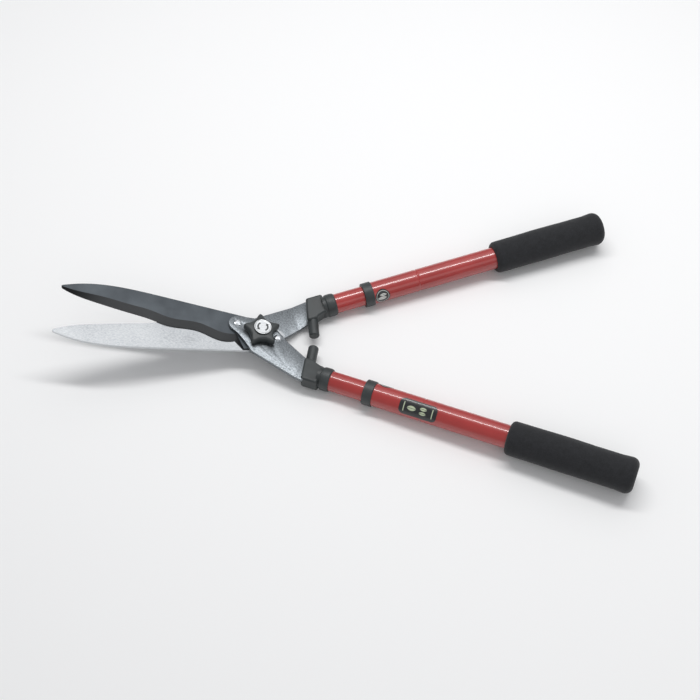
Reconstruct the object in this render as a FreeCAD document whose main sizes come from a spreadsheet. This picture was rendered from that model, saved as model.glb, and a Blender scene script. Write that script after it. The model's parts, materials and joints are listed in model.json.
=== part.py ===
"""Telescopic hedge shears with wavy blades, cranked arms and foam grips.

The tool frame has the pivot axis on Z, the blades along -X, the handles along +X and the plane in which
the blades meet at Z = 0. The shears are two mirrored halves. The top half carries the near handle (-Y) and
the bottom half the far handle (+Y). At the end everything is tilted to lie on a flat surface, resting on
both stop blocks and both grips, with the origin under the middle of the bounding box.
"""
import FreeCAD, Part
import math
import os
from types import SimpleNamespace

import Sketcher
from FreeCAD import Placement, Rotation, Vector

document = FreeCAD.newDocument("hedge_shears")

# Driving dimensions in millimetres and degrees.
DIMENSIONS = {
    # Blades
    "blade_length": 220.0,
    "blade_back": 18.6,
    "blade_thickness": 3.0,
    "edge_thickness": 0.8,
    "bevel_width": 9.3,
    "blade_gap": 0.1,
    "heel_depth": 23.0,
    # Arms
    "arm_thickness": 4.0,
    "arm_boss_radius": 18.0,
    "arm_nose_radius": 9.5,
    "arm_tail_width": 29.0,
    "arm_bend_radius": 12.0,
    "tang_width": 13.0,
    "tang_depth": 36.0,
    "tang_offset": 4.1,
    # Rivets
    "rivet_radius": 2.5,
    "rivet_head_radius": 4.3,
    "rivet_head_height": 1.7,
    "rivet_sink": 1.4,
    "front_rivet_reach": 27.6,
    "front_rivet_rise": 5.5,
    "rear_rivet_reach": 18.7,
    "rear_rivet_drop": 1.4,
    # Pivot
    "bolt_radius": 4.0,
    "bolt_head_radius": 10.0,
    "bolt_head_height": 5.5,
    "running_gap": 0.05,
    "washer_radius": 9.5,
    "washer_thickness": 2.1,
    "knob_radius": 20.3,
    "knob_height": 8.0,
    "knob_lobes": 5,
    "knob_notch_radius": 8.2,
    "knob_wall": 2.0,
    "knob_lobe_round": 3.2,
    "knob_top_round": 2.0,
    "knob_turn": 27.0,
    "insert_radius": 7.0,
    "insert_height": 5.5,
    "cap_radius": 9.3,
    "cap_height": 3.0,
    "cap_sink": 1.0,
    "cap_rim": 1.2,
    # Layout of the handles
    "half_open_angle": 7.2,
    "handle_angle": 13.5,
    "crank_angle": 12.7,
    "crank_reach": 50.0,
    "handle_offset": 20.4,
    # Stop block with its peg and ferrule
    "block_end": 31.5,
    "block_width": 27.0,
    "block_thickness": 15.5,
    "block_round": 2.5,
    "peg_radius": 5.75,
    "peg_reach": 16.0,
    "peg_round": 1.5,
    "peg_gap": 0.15,
    "ferrule_length": 11.7,
    "ferrule_radius": 12.8,
    "neck_radius": 11.6,
    # Telescopic tubes
    "inner_tube_radius": 11.0,
    "inner_tube_wall": 1.0,
    "inner_tube_length": 245.0,
    "tube_seat": 9.2,
    "core_length": 38.0,
    "outer_tube_radius": 12.5,
    "outer_tube_wall": 1.0,
    "outer_tube_length": 283.0,
    "groove_reach": 64.7,
    "groove_depth": 0.4,
    "groove_half_width": 1.3,
    "far_exposure": 32.9,
    "near_exposure": 38.7,
    "collar_radius": 13.75,
    "collar_length": 10.7,
    "collar_lip": 1.7,
    "lip_gap": 0.3,
    "bush_length": 13.0,
    "bush_flange": 1.0,
    # Twist lock
    "stud_seat": 20.0,
    "stud_flange": 1.5,
    "stud_radius": 4.0,
    "cone_radius": 8.0,
    "cone_length": 9.0,
    "collet_length": 20.0,
    "collet_slit": 1.6,
    "slit_depth": 14.0,
    "collet_play": 0.4,
    "pin_radius": 2.0,
    "pin_reach": 5.0,
    "pin_recess": 0.3,
    # Grips
    "grip_length": 133.4,
    "grip_end_wall": 3.1,
    "grip_radius": 18.3,
    "grip_flare_radius": 19.1,
    "grip_flare_length": 18.0,
    "grip_front_round": 5.0,
    "grip_rear_round": 8.0,
    "plug_flange": 2.0,
    "plug_depth": 16.0,
    "plug_wall": 2.5,
    # Labels
    "label_thickness": 0.2,
    "round_label_radius": 8.5,
    "round_label_reach": 19.7,
    "round_label_turn": 66.0,
    "long_label_length": 41.0,
    "long_label_width": 17.0,
    "long_label_reach": 62.0,
    "long_label_round": 5.0,
    "long_label_turn": 44.0,
}

sheet = document.addObject("Spreadsheet::Sheet", "Sizes")
for row, (alias, number) in enumerate(DIMENSIONS.items(), start=1):
    sheet.set(f"A{row}", alias)
    sheet.set(f"B{row}", str(number))
    sheet.setAlias(f"B{row}", alias)
document.recompute()


class Size:
    """A number together with the sheet expression that gives it."""

    def __init__(self, value, text):
        self.value = value
        self.text = text

    def combined(self, other, sign, value):
        return Size(value, f"({self.text} {sign} {as_size(other).text})")

    def __add__(self, other):
        return self.combined(other, "+", self.value + as_size(other).value)

    def __sub__(self, other):
        return self.combined(other, "-", self.value - as_size(other).value)

    def __mul__(self, other):
        return self.combined(other, "*", self.value * as_size(other).value)

    def __neg__(self):
        return self * -1


def as_size(number):
    return number if isinstance(number, Size) else Size(float(number), repr(float(number)))


mm = SimpleNamespace(**{alias: Size(getattr(sheet, alias), f"Sizes.{alias}") for alias in DIMENSIONS})
X_AXIS, Y_AXIS, Z_AXIS = Vector(1, 0, 0), Vector(0, 1, 0), Vector(0, 0, 1)
WIDE = 400.0
FINENESS = 0.2


# Derived values ---------------------------------------------------------------------------------------

blade_low = mm.blade_gap * 0.5
blade_high = blade_low + mm.blade_thickness
arm_high = blade_high + mm.arm_thickness
washer_low = arm_high + mm.running_gap
washer_high = washer_low + mm.washer_thickness
knob_low = washer_high + mm.running_gap
knob_high = knob_low + mm.knob_height
insert_high = knob_low + mm.insert_height
cap_low = knob_high - mm.cap_sink
bolt_bottom = -(arm_high + mm.bolt_head_height)
ferrule_end = mm.block_end + mm.ferrule_length
tube_start = ferrule_end - mm.tube_seat
tube_end = tube_start + mm.inner_tube_length
inner_bore = mm.inner_tube_radius - mm.inner_tube_wall
outer_bore = mm.outer_tube_radius - mm.outer_tube_wall
tube_mouth = mm.collar_lip + mm.bush_flange
outer_end = tube_mouth + mm.outer_tube_length
plug_end = outer_end + mm.plug_flange
grip_end = plug_end + mm.grip_end_wall
grip_start = grip_end - mm.grip_length
collet_start = tube_end + mm.stud_flange + mm.collet_play
collet_end = collet_start + mm.collet_length
stud_end = collet_end + mm.collet_play

CLOSED = math.radians(mm.handle_angle.value)
CRANK = math.radians(mm.crank_angle.value)


# Frames -----------------------------------------------------------------------------------------------

def turned_about(axis, degrees):
    return Placement(Vector(), Rotation(axis, degrees))


def moved(x=0.0, y=0.0, z=0.0):
    return Placement(Vector(x, y, z), Rotation())


class Half:
    """Where one half of the shears lies at rest. side is +1 for the far handle and -1 for the near one."""

    def __init__(self, name, side, exposure):
        self.name = name
        self.side = side
        self.pose = turned_about(Z_AXIS, side * mm.half_open_angle.value)
        flip = turned_about(X_AXIS, 180.0 if side > 0 else 0.0)
        self.plate = self.pose.multiply(flip)
        self.arm = self.plate.multiply(turned_about(Z_AXIS, -mm.handle_angle.value))
        reach, offset = mm.crank_reach.value, mm.handle_offset.value
        start = moved(reach * math.cos(CLOSED) - offset * math.sin(CLOSED),
                      side * (reach * math.sin(CLOSED) + offset * math.cos(CLOSED)))
        turn = turned_about(Z_AXIS, side * mm.handle_angle.value)
        rise = turned_about(Y_AXIS, -mm.crank_angle.value)
        self.closed_handle = start.multiply(turn).multiply(rise)
        self.handle = self.pose.multiply(self.closed_handle)
        self.sleeve = self.handle.multiply(moved(x=ferrule_end.value + exposure.value))

    def label(self, piece):
        return f"{piece}_{self.name}"


top = Half("top", -1, mm.near_exposure)
bottom = Half("bottom", +1, mm.far_exposure)


# Building blocks --------------------------------------------------------------------------------------

sub_parts = {}


def keep(piece, label):
    """Name a finished sub-part and list it for export."""
    piece.Label = label
    sub_parts[label] = piece
    return piece


def new_body(label, pose):
    body = document.addObject("PartDesign::Body", label)
    body.Placement = pose
    return body


def new_sketch(body, role, name, lift=None):
    sketch = body.newObject("Sketcher::SketchObject", name)
    plane = next(item for item in body.Origin.OriginFeatures if item.Role == role)
    sketch.AttachmentSupport = [(plane, "")]
    sketch.MapMode = "FlatFace"
    if lift is not None:
        sketch.setExpression("AttachmentOffset.Base.z", lift.text)
    return sketch


def drive(sketch, kind, *items):
    """Add a constraint whose last item is a Size, and bind it to the sheet."""
    size = items[-1]
    index = sketch.addConstraint(Sketcher.Constraint(kind, *items[:-1], size.value))
    sketch.setExpression(f"Constraints[{index}]", size.text)


def draw_polygon(sketch, corners):
    """Closed polygon whose corners are pairs of sizes measured from the origin."""
    corners = [(as_size(across), as_size(along)) for across, along in corners]
    first = sketch.GeometryCount
    count = len(corners)
    for index, (across, along) in enumerate(corners):
        next_across, next_along = corners[(index + 1) % count]
        sketch.addGeometry(Part.LineSegment(Vector(across.value, along.value, 0),
                                            Vector(next_across.value, next_along.value, 0)), False)
    for index, (across, along) in enumerate(corners):
        line = first + index
        sketch.addConstraint(Sketcher.Constraint("Coincident", line, 2, first + (index + 1) % count, 1))
        drive(sketch, "DistanceX", -1, 1, line, 1, across)
        drive(sketch, "DistanceY", -1, 1, line, 1, along)


def draw_circle(sketch, radius, across=0.0, along=0.0):
    across, along = as_size(across), as_size(along)
    centre = Vector(across.value, along.value, 0)
    circle = sketch.addGeometry(Part.Circle(centre, Z_AXIS, radius.value), False)
    drive(sketch, "Radius", circle, radius)
    drive(sketch, "DistanceX", -1, 1, circle, 3, across)
    drive(sketch, "DistanceY", -1, 1, circle, 3, along)


def draw_chain(sketch, curves):
    """Closed chain of ready-made curves, each joined to the next where their ends meet."""
    first = sketch.GeometryCount
    for curve in curves:
        sketch.addGeometry(curve, False)
    drawn = sketch.Geometry[first:]
    for index, curve in enumerate(drawn):
        following = (index + 1) % len(drawn)
        ends = {1: curve.StartPoint, 2: curve.EndPoint}
        starts = {1: drawn[following].StartPoint, 2: drawn[following].EndPoint}
        here, there = min(((one, other) for one in ends for other in starts),
                          key=lambda pair: ends[pair[0]].distanceToPoint(starts[pair[1]]))
        sketch.addConstraint(Sketcher.Constraint("Coincident", first + index, here,
                                                 first + following, there))


def pad(body, sketch, length, centred=False):
    feature = body.newObject("PartDesign::Pad", "Pad")
    feature.Profile = sketch
    feature.setExpression("Length", as_size(length).text)
    feature.Midplane = centred
    return feature


def pocket_through(body, sketch):
    document.recompute()
    feature = body.newObject("PartDesign::Pocket", "Pocket")
    feature.Profile = sketch
    feature.Type = "ThroughAll"
    feature.Midplane = True
    return feature


def revolve(body, corners, axis):
    """Turn a half section, drawn on the XZ plane, about its H_Axis (X) or V_Axis (Z)."""
    sketch = new_sketch(body, "XZ_Plane", "Section")
    draw_polygon(sketch, corners)
    feature = body.newObject("PartDesign::Revolution", "Revolution")
    feature.Profile = sketch
    feature.ReferenceAxis = (sketch, [axis])
    feature.Angle = 360.0
    return feature


def repeat_around(body, feature, count):
    """Repeat a feature evenly about the body's own Z axis."""
    pattern = body.newObject("PartDesign::PolarPattern", "PolarPattern")
    pattern.Originals = [feature]
    axis = next(item for item in body.Origin.OriginFeatures if item.Role == "Z_Axis")
    pattern.Axis = (axis, [""])
    pattern.Angle = 360.0
    pattern.setExpression("Occurrences", count.text)
    body.Tip = pattern
    return pattern


def round_edges(body, radius, chosen):
    """Fillet the edges for which chosen(edge) is true, measured in the body's own frame."""
    document.recompute()
    base = body.Tip
    names = [f"Edge{index}" for index, edge in enumerate(base.Shape.Edges, start=1) if chosen(edge)]
    if not names:
        raise RuntimeError(f"no edge to round on {body.Label}")
    feature = body.newObject("PartDesign::Fillet", "Fillet")
    feature.Base = (base, names)
    feature.setExpression("Radius", radius.text)
    return feature


def on_ring(radius, place, axis=X_AXIS):
    """Edges that are full circles of this radius at this place along the axis."""
    def chosen(edge):
        centre = edge.BoundBox.Center
        return (isinstance(edge.Curve, Part.Circle) and abs(edge.Curve.Radius - radius.value) < 0.01
                and abs(centre.dot(axis) - place.value) < 0.01)
    return chosen


def turned(label, pose, corners, axis="H_Axis"):
    body = new_body(label, pose)
    revolve(body, corners, axis)
    return keep(body, label)


def cylinder(label, radius, height, pose):
    piece = document.addObject("Part::Cylinder", label)
    piece.setExpression("Radius", radius.text)
    piece.setExpression("Height", height.text)
    piece.Placement = pose
    piece.Label = label
    return piece


def cut(label, base, *tools):
    """Remove the tools from the base, one after the other."""
    for tool in tools:
        result = document.addObject("Part::Cut", label)
        result.Base = base
        result.Tool = tool
        base = result
    return base


# Blades -----------------------------------------------------------------------------------------------

# The cutting edge runs in waves. Each point has its distance from the pivot, its depth below the closed
# line and the share of the full bevel width that is ground there, from the tip to the heel.
EDGE_WAVES = [(218.0, 1.2, 0.15), (205.0, 5.0, 0.45), (176.0, 8.7, 0.90), (146.0, 11.0, 1.00),
              (118.0, 13.1, 1.05), (99.0, 15.6, 1.00), (66.0, 12.9, 0.97), (45.0, 17.5, 1.00),
              (26.0, 14.2, 0.85)]
WAVES_LENGTH = 220.0
HEEL = Vector(-14.0, -mm.heel_depth.value, 0)
TAIL_ROUND = 7.5


def smooth(points):
    curve = Part.BSplineCurve()
    curve.interpolate(points)
    return curve


def arc(start, middle, end):
    """Arc through three points, stored anticlockwise whichever way it is drawn."""
    anticlockwise = (middle - start).cross(end - middle).z > 0
    return Part.Arc(start, middle, end) if anticlockwise else Part.Arc(end, middle, start)


def blade_outline(ground):
    """Outline of a blade. ground is 0 for the full outline and 1 for the inner line of the bevel."""
    length, back = mm.blade_length.value, mm.blade_back.value
    scale = length / WAVES_LENGTH
    bevel = mm.bevel_width.value * ground
    edge = [Vector(-reach * scale, -depth + bevel * share, 0) for reach, depth, share in EDGE_WAVES]
    tail = mm.rear_rivet_reach.value
    tail_low, tail_high = Vector(tail, -TAIL_ROUND - 2, 0), Vector(tail, TAIL_ROUND, 0)
    waist = Vector(-14.0, back, 0)
    shoulder = Vector(-0.55 * length, back, 0)
    tip_back = Vector(-0.973 * length, 0.24 * back, 0)
    tip = Vector(-length, bevel * 0.05, 0)
    return [
        smooth(edge),
        Part.LineSegment(edge[-1], HEEL),
        Part.LineSegment(HEEL, tail_low),
        arc(tail_low, Vector(tail + TAIL_ROUND, -1, 0), tail_high),
        Part.LineSegment(tail_high, waist),
        Part.LineSegment(waist, shoulder),
        smooth([shoulder, Vector(-0.72 * length, 0.94 * back, 0),
                Vector(-0.86 * length, 0.70 * back, 0), tip_back]),
        smooth([tip_back, tip, edge[0]]),
    ]


def rivet_places():
    """Centres of the front and the rear rivet in the plane of the blade."""
    return {
        "front": Vector(-mm.front_rivet_reach.value, mm.front_rivet_rise.value, 0),
        "rear": Vector(mm.rear_rivet_reach.value, -mm.rear_rivet_drop.value, 0),
    }


def sink_hole(body, place):
    """Countersink in the blade's inner face for the flush end of a rivet."""
    cone = body.newObject("PartDesign::SubtractiveCone", "Countersink")
    cone.setExpression("Radius1", (mm.rivet_radius + mm.rivet_sink).text)
    cone.setExpression("Radius2", mm.rivet_radius.text)
    cone.setExpression("Height", mm.rivet_sink.text)
    cone.Placement = moved(place.x, place.y, blade_low.value)


def make_blade(half):
    label = half.label("blade")
    body = new_body(label, half.plate)
    outline = new_sketch(body, "XY_Plane", "Outline", blade_low)
    draw_chain(outline, blade_outline(0))
    pad(body, outline, mm.edge_thickness)
    edge_line = new_sketch(body, "XY_Plane", "EdgeLine", blade_low + mm.edge_thickness)
    draw_chain(edge_line, blade_outline(0))
    bevel_line = new_sketch(body, "XY_Plane", "BevelLine", blade_high)
    draw_chain(bevel_line, blade_outline(1))
    document.recompute()
    grind = body.newObject("PartDesign::AdditiveLoft", "Grind")
    grind.Profile = edge_line
    grind.Sections = [bevel_line]
    grind.Ruled = True
    holes = new_sketch(body, "XY_Plane", "Holes")
    draw_circle(holes, mm.bolt_radius + mm.running_gap)
    for place in rivet_places().values():
        draw_circle(holes, mm.rivet_radius, place.x, place.y)
    pocket_through(body, holes)
    for place in rivet_places().values():
        sink_hole(body, place)
    return keep(body, label)


def make_rivets(half):
    """Domed rivets whose flush ends fill the countersinks in the blade."""
    radius, head = mm.rivet_radius, mm.rivet_head_radius
    for place, centre in rivet_places().items():
        top_of_head = arm_high + mm.rivet_head_height
        turned(half.label(f"rivet_{place}"), half.plate.multiply(moved(centre.x, centre.y)),
               [(0, blade_low), (radius + mm.rivet_sink, blade_low), (radius, blade_low + mm.rivet_sink),
                (radius, arm_high), (head, arm_high), (head * 0.86, arm_high + mm.rivet_head_height * 0.6),
                (head * 0.5, arm_high + mm.rivet_head_height * 0.93), (0, top_of_head)], "V_Axis")


# Arms -------------------------------------------------------------------------------------------------

def arm_outline():
    """Outline of an arm in plan, with X along the handle and the handle's side at -Y."""
    to_arm = turned_about(Z_AXIS, mm.handle_angle.value)
    nose_centre = to_arm.multVec(rivet_places()["front"])
    boss, axis = mm.arm_boss_radius.value, -mm.handle_offset.value
    half_width, half_tang = mm.arm_tail_width.value / 2, mm.tang_width.value / 2
    inside_block = mm.block_width.value / 2 - 0.6
    face = block_front(mm.peg_reach.value)
    reach = mm.crank_reach.value

    def on_circle(centre, radius, degrees):
        turn = math.radians(degrees)
        return centre + Vector(radius * math.cos(turn), radius * math.sin(turn), 0)

    nose = [on_circle(nose_centre, mm.arm_nose_radius.value, degrees) for degrees in (250, 175, 100)]
    crown = [on_circle(Vector(), boss, degrees) for degrees in (105, 74, 44)]
    inner_start = Vector(0.55 * reach, -0.08 * reach + 8.5, 0)
    inner_face = reach + face(half_width)
    outer_face = reach + face(-half_width)
    inner_end = Vector(inner_face, axis + half_width, 0)
    inner_lip = Vector(inner_face + 3.0, axis + inside_block, 0)
    tang_inner = Vector(inner_face + 8.0, axis + half_tang, 0)
    tang_outer = Vector(outer_face + 8.0, axis - half_tang, 0)
    outer_lip = Vector(outer_face + 2.0, axis - inside_block, 0)
    outer_end = Vector(outer_face - 0.8, axis - half_width, 0)
    tang_end = reach + (tube_start + mm.tang_depth).value * math.cos(CRANK)
    corner = Vector(0.5, -26.4, 0)
    return [
        arc(*nose),
        Part.LineSegment(nose[2], crown[0]),
        arc(*crown),
        smooth([crown[2], Vector(0.41 * reach, 8.4, 0), inner_start]),
        Part.LineSegment(inner_start, inner_end),
        Part.LineSegment(inner_end, inner_lip),
        Part.LineSegment(inner_lip, tang_inner),
        Part.LineSegment(tang_inner, Vector(tang_end, tang_inner.y, 0)),
        Part.LineSegment(Vector(tang_end, tang_inner.y, 0), Vector(tang_end, tang_outer.y, 0)),
        Part.LineSegment(Vector(tang_end, tang_outer.y, 0), tang_outer),
        Part.LineSegment(tang_outer, outer_lip),
        Part.LineSegment(outer_lip, outer_end),
        Part.LineSegment(outer_end, corner),
        smooth([corner, Vector(-8.0, -20.6, 0), Vector(-18.0, -14.9, 0), nose[0]]),
    ]


def block_front(peg_reach):
    """Front face of the stop block: distance along the handle for each distance across it."""
    lean = math.tan(CLOSED)
    start = peg_reach * math.cos(CRANK) - mm.peg_radius.value / math.cos(CLOSED)
    return lambda inward: start - inward * lean


def arm_bend(crank):
    """Distance of the bend from the pivot, and how far each face's bend line stands off it."""
    middle = (blade_high.value + arm_high.value) / 2
    tang_rise = mm.tang_offset.value / math.cos(CRANK)
    bend = mm.crank_reach.value + crank * (middle - tang_rise) / math.tan(CRANK)
    return bend, crank * mm.arm_thickness.value / 2 * math.tan(CRANK / 2)


def waste_outline(corner, rise, far, crank):
    """Side view of the stock on one side of the plate, which follows the plate round its bend."""
    radius, half_bend = mm.arm_bend_radius.value, CRANK / 2
    slope = Vector(math.cos(CRANK), crank * math.sin(CRANK), 0)
    tangent = radius * math.tan(half_bend)
    bulge = radius / math.cos(half_bend) - radius
    leaves, joins = corner - Vector(tangent, 0, 0), corner + slope * tangent
    middle = corner + Vector(-math.sin(half_bend), crank * math.cos(half_bend), 0) * bulge
    end = corner + slope * (rise / slope.y)
    near, far_near, far_end = Vector(-WIDE, corner.y, 0), Vector(-WIDE, far, 0), Vector(end.x, far, 0)
    return [Part.LineSegment(near, leaves), arc(leaves, middle, joins), Part.LineSegment(joins, end),
            Part.LineSegment(end, far_end), Part.LineSegment(far_end, far_near),
            Part.LineSegment(far_near, near)]


def arm_waste(crank):
    """Side views of the stock above and below the bent plate. crank is +1 if it bends off the blade."""
    bend, mitre = arm_bend(crank)
    rise = crank * (WIDE - bend) * math.tan(CRANK)
    return [waste_outline(Vector(bend - mitre, arm_high.value, 0), rise, WIDE, crank),
            waste_outline(Vector(bend + mitre, blade_high.value, 0), rise, -WIDE, crank)]


def make_arm(half):
    crank = -half.side
    body = new_body(half.label("arm_blank"), half.arm)
    outline = new_sketch(body, "XY_Plane", "Outline")
    draw_chain(outline, arm_outline())
    pad(body, outline, WIDE / 4, centred=True)
    for waste in arm_waste(crank):
        section = new_sketch(body, "XZ_Plane", "Waste")
        draw_chain(section, waste)
        pocket_through(body, section)
    holes = new_sketch(body, "XY_Plane", "Holes")
    to_arm = turned_about(Z_AXIS, mm.handle_angle.value)
    for place in rivet_places().values():
        centre = to_arm.multVec(place)
        draw_circle(holes, mm.rivet_radius, centre.x, centre.y)
    if half is top:
        draw_circle(holes, mm.bolt_radius + mm.running_gap)
    else:
        draw_polygon(holes, square(mm.bolt_radius))
    pocket_through(body, holes)
    return body


def square(half_side):
    return [(-half_side, -half_side), (half_side, -half_side), (half_side, half_side),
            (-half_side, half_side)]


# Stop block, tube core and cross pin --------------------------------------------------------------------

def make_cross_pin(half):
    """Pin through tube and tang. Its flat ends stay inside the ferrule's bore."""
    reach = (tube_start + mm.pin_reach).value
    half_length = mm.inner_tube_radius - mm.pin_recess
    pose = half.handle.multiply(moved(x=reach, z=-half_length.value))
    return keep(cylinder(half.label("cross_pin"), mm.pin_radius, half_length * 2, pose),
                half.label("cross_pin"))


def make_stop_block(half, arm):
    """Moulding round the arm's tail: block, ferrule round the tube and peg towards the other half."""
    inward = -half.side
    body = new_body(half.label("stop_block_blank"), half.handle)
    face = block_front(mm.peg_reach.value)
    width, thick = mm.block_width.value / 2, mm.block_thickness
    root = width + 1.5
    back_of_peg = 2 * mm.peg_radius.value / math.cos(CLOSED)
    outline = new_sketch(body, "XY_Plane", "Outline")
    shoulder = 0.78 * width
    draw_polygon(outline, [
        (face(root), inward * root), (face(-width), -inward * width), (mm.block_end, -inward * width),
        (mm.block_end, inward * shoulder), (mm.block_end - 5.0, inward * shoulder),
        (face(root) + back_of_peg + 1.5, inward * (width - 0.5)),
        (face(root) + back_of_peg, inward * root)])
    pad(body, outline, thick, centred=True)
    round_edges(body, mm.block_round, lambda edge: True)
    neck, radius = mm.neck_radius, mm.ferrule_radius
    revolve(body, [(mm.block_end - 3.0, 0), (mm.block_end - 3.0, neck), (mm.block_end + 0.6, neck),
                   (mm.block_end + 1.8, radius - 0.3), (mm.block_end + 4.0, radius),
                   (ferrule_end - 3.5, radius), (ferrule_end - 1.2, radius - 0.4), (ferrule_end, neck),
                   (ferrule_end, mm.inner_tube_radius), (tube_start, mm.inner_tube_radius),
                   (tube_start, 0)], "H_Axis")
    peg = body.newObject("PartDesign::AdditiveCylinder", "Peg")
    peg.setExpression("Radius", mm.peg_radius.text)
    peg_axis_point = half.closed_handle.multVec(Vector(mm.peg_reach.value, 0, 0))
    peg.Height = abs(peg_axis_point.y) - mm.peg_gap.value
    across = half.closed_handle.inverse().Rotation.multVec(Vector(0, inward, 0))
    peg.Placement = Placement(Vector(mm.peg_reach.value, 0, 0), Rotation(Z_AXIS, across))
    tip = Vector(mm.peg_reach.value, 0, 0) + across * float(peg.Height)
    round_edges(body, mm.peg_round, lambda edge: (edge.BoundBox.Center - tip).Length < 0.5)
    return keep(cut(half.label("stop_block"), body, arm), half.label("stop_block"))


def make_tube_front(half, arm_blank, pin):
    """Inner tube, and the core that fills it round the arm's tang."""
    tube = new_body(half.label("inner_tube_blank"), half.handle)
    revolve(tube, [(tube_start, inner_bore), (tube_start, mm.inner_tube_radius),
                   (tube_end, mm.inner_tube_radius), (tube_end, inner_bore)], "H_Axis")
    keep(cut(half.label("inner_tube"), tube, pin), half.label("inner_tube"))
    core = new_body(half.label("tang_core_blank"), half.handle)
    core_end = tube_start + mm.core_length
    revolve(core, [(tube_start, 0), (tube_start, inner_bore), (core_end, inner_bore), (core_end, 0)],
            "H_Axis")
    keep(cut(half.label("tang_core"), core, arm_blank, pin), half.label("tang_core"))


# Twist lock -------------------------------------------------------------------------------------------

def make_lock(half):
    """Lock stud fixed in the inner tube, and the split collet that its cone spreads."""
    stud, cone = mm.stud_radius, mm.cone_radius
    flange = tube_end + mm.stud_flange
    turned(half.label("lock_stud"), half.handle,
           [(tube_end - mm.stud_seat, 0), (tube_end - mm.stud_seat, inner_bore), (tube_end, inner_bore),
            (tube_end, mm.inner_tube_radius), (flange, mm.inner_tube_radius), (flange, stud),
            (stud_end - mm.cone_length, stud), (stud_end, cone), (stud_end, 0)])
    bore, outer = stud + mm.running_gap, outer_bore - mm.running_gap
    body = new_body(half.label("lock_collet"), half.handle)
    revolve(body, [(collet_start, bore), (collet_start, outer), (collet_end, outer),
                   (collet_end, cone + mm.running_gap), (collet_end - mm.cone_length, bore)], "H_Axis")
    slit = mm.collet_slit * 0.5
    for role in ("XY_Plane", "XZ_Plane"):
        sketch = new_sketch(body, role, "Slit")
        start = collet_end - mm.slit_depth
        draw_polygon(sketch, [(start, -slit), (collet_end + 1, -slit), (collet_end + 1, slit),
                              (start, slit)])
        pocket_through(body, sketch)
    keep(body, half.label("lock_collet"))


# Sleeve: outer tube, collar, grip and labels ----------------------------------------------------------

def make_outer_tube(half):
    """Tube with a groove pressed inwards, which stops the collet when the handle is drawn out."""
    radius, bore = mm.outer_tube_radius, outer_bore
    place, depth, reach = mm.groove_reach, mm.groove_depth, mm.groove_half_width
    turned(half.label("outer_tube"), half.sleeve,
           [(tube_mouth, bore), (tube_mouth, radius), (place - reach, radius), (place, radius - depth),
            (place + reach, radius), (outer_end, radius), (outer_end, bore), (place + reach, bore),
            (place, bore - depth), (place - reach, bore)])


def make_collar(half):
    radius, lip_bore = mm.collar_radius, mm.inner_tube_radius + mm.lip_gap
    body = turned(half.label("collar"), half.sleeve,
                  [(0, lip_bore), (0, radius), (mm.collar_length, radius),
                   (mm.collar_length, mm.outer_tube_radius), (mm.collar_lip, mm.outer_tube_radius),
                   (mm.collar_lip, lip_bore)])
    for place in (as_size(0), mm.collar_length):
        round_edges(body, as_size(0.7), on_ring(radius, place))


def make_guide_bush(half):
    """Liner that guides the inner tube, with a flange held between collar and outer tube."""
    bore = mm.inner_tube_radius + mm.running_gap
    turned(half.label("guide_bush"), half.sleeve,
           [(mm.collar_lip, bore), (mm.collar_lip, mm.outer_tube_radius),
            (tube_mouth, mm.outer_tube_radius), (tube_mouth, outer_bore),
            (tube_mouth + mm.bush_length, outer_bore), (tube_mouth + mm.bush_length, bore)])


def make_end_plug(half):
    cup = outer_bore - mm.plug_wall
    turned(half.label("end_plug"), half.sleeve,
           [(outer_end - mm.plug_depth, cup), (outer_end - mm.plug_depth, outer_bore),
            (outer_end, outer_bore), (outer_end, mm.outer_tube_radius),
            (plug_end, mm.outer_tube_radius), (plug_end, 0), (outer_end, 0), (outer_end, cup)])


def make_grip(half):
    radius, flare = mm.grip_radius, mm.grip_flare_radius
    flare_start = grip_end - mm.grip_flare_length
    body = turned(half.label("grip"), half.sleeve,
                  [(grip_start, mm.outer_tube_radius), (grip_start, radius), (flare_start, radius),
                   (grip_end - mm.grip_rear_round, flare), (grip_end, flare), (grip_end, 0),
                   (plug_end, 0), (plug_end, mm.outer_tube_radius)])
    round_edges(body, mm.grip_front_round, on_ring(radius, grip_start))
    round_edges(body, mm.grip_rear_round, on_ring(flare, grip_end))


def make_label(label, pose, start, end, punch):
    """Thin patch on the outer tube: a ring of label stock cut to the outline of the punch."""
    ring = new_body(f"{label}_stock", pose)
    radius = mm.outer_tube_radius
    revolve(ring, [(start, radius), (start, radius + mm.label_thickness),
                   (end, radius + mm.label_thickness), (end, radius)], "H_Axis")
    patch = document.addObject("Part::Common", label)
    patch.Base = ring
    patch.Tool = punch
    keep(patch, label)


def make_round_label(half):
    label, reach = half.label("round_label"), mm.round_label_reach
    turn = turned_about(X_AXIS, half.side * mm.round_label_turn.value)
    pose = half.sleeve.multiply(turn).multiply(moved(x=reach.value))
    punch = cylinder(f"{label}_punch", mm.round_label_radius, mm.outer_tube_radius * 2, pose)
    margin = mm.round_label_radius + 1
    make_label(label, half.sleeve, reach - margin, reach + margin, punch)


def make_long_label(half):
    turn = turned_about(X_AXIS, -half.side * mm.long_label_turn.value)
    reach, length, width = mm.long_label_reach, mm.long_label_length, mm.long_label_width
    punch = new_body("long_label_punch", half.sleeve.multiply(turn).multiply(moved(x=reach.value)))
    outline = new_sketch(punch, "XY_Plane", "Outline")
    across, along = width * 0.5, length * 0.5
    draw_polygon(outline, [(-along, -across), (along, -across), (along, across), (-along, across)])
    pad(punch, outline, mm.outer_tube_radius * 2)
    round_edges(punch, mm.long_label_round,
                lambda edge: edge.BoundBox.ZLength > 1 and edge.BoundBox.DiagonalLength
                < edge.BoundBox.ZLength + 0.01)
    make_label("long_label", half.sleeve, reach - along - 1, reach + along + 1, punch)


# Pivot ------------------------------------------------------------------------------------------------

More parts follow.
